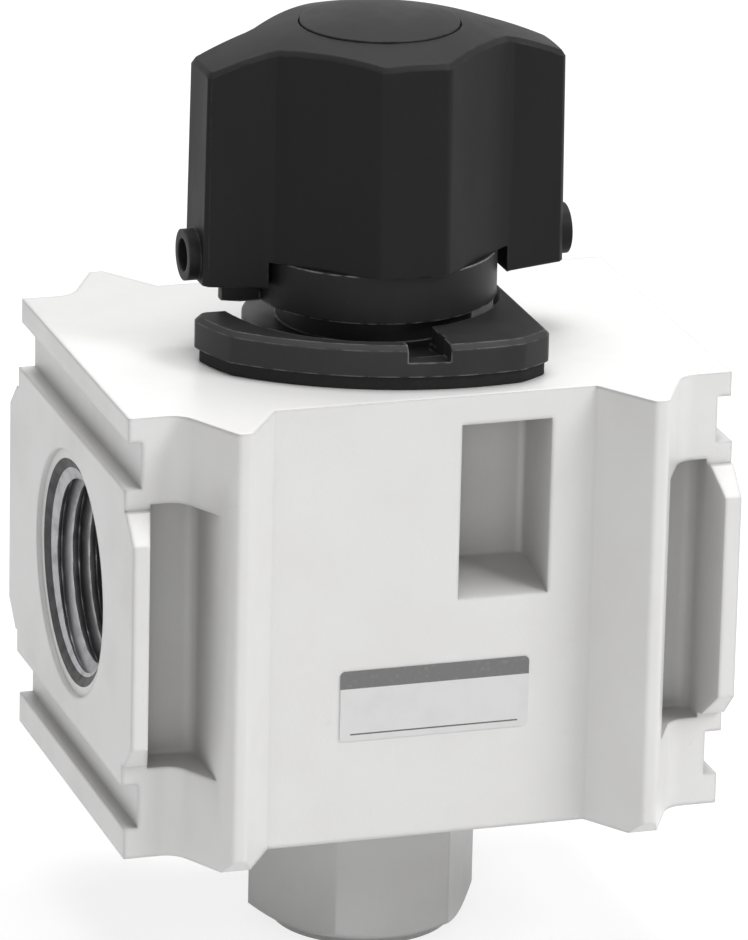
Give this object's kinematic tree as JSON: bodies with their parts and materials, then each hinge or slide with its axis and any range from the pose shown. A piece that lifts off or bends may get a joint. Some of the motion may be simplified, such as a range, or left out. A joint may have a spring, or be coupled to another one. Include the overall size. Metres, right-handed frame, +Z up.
{
  "type": "residual pressure exhaust valve",
  "caption": "White modular air-line valve body with side thread ports, black push-and-turn winged knob on top and a hexagon exhaust port below.",
  "frame": {"origin": "underside of the exhaust fitting, on the knob axis", "axes": "+Z up along the knob axis, +X from the inlet port to the outlet port, -Y the label side"},
  "size_m": [0.063, 0.0544, 0.0961],
  "materials": {
    "white_paint": "fine satin enamel on a die casting",
    "black_plastic": "satin moulded plastic",
    "grey_metal": "light satin coating on a turned hexagon",
    "dark_rubber": "matt",
    "brass": "turned",
    "steel": "turned bright",
    "spring_steel": "bright drawn wire",
    "label": "printed film, left blank"
  },
  "bodies": {
    "housing": {"body": "white_paint", "bonnet": "black_plastic", "bonnet_gasket": "dark_rubber", "bonnet_seal": "dark_rubber", "guide_bush": "brass", "rod_seal": "dark_rubber", "supply_seat": "brass", "seat_seal": "dark_rubber", "exhaust_fitting": "grey_metal", "fitting_seal": "dark_rubber", "spring_guide": "brass", "label_plate": "label", "return_spring": "spring_steel"},
    "spindle": {"stem": "steel", "poppet": "brass", "supply_disc": "dark_rubber", "exhaust_disc": "dark_rubber", "poppet_washer": "steel", "knob_washer": "steel", "knob_screw": "steel"},
    "handle": {"knob": "black_plastic", "knob_cap": "black_plastic", "knob_sleeve": "black_plastic", "lock_tab": "black_plastic"}
  },
  "joints": [
    {"name": "knob_push", "type": "slide", "parent": "housing", "child": "spindle", "axis": [0, 0, -1], "range_m": [0, 0.0022], "stiffness_N_per_m": 1500, "springref_m": -0.006, "deforming": ["return_spring"]},
    {"name": "knob_turn", "type": "hinge", "parent": "spindle", "child": "handle", "pos_m": [0, 0, 0.08], "axis": [0, 0, 1], "range_deg": [0, 90]}
  ]
}
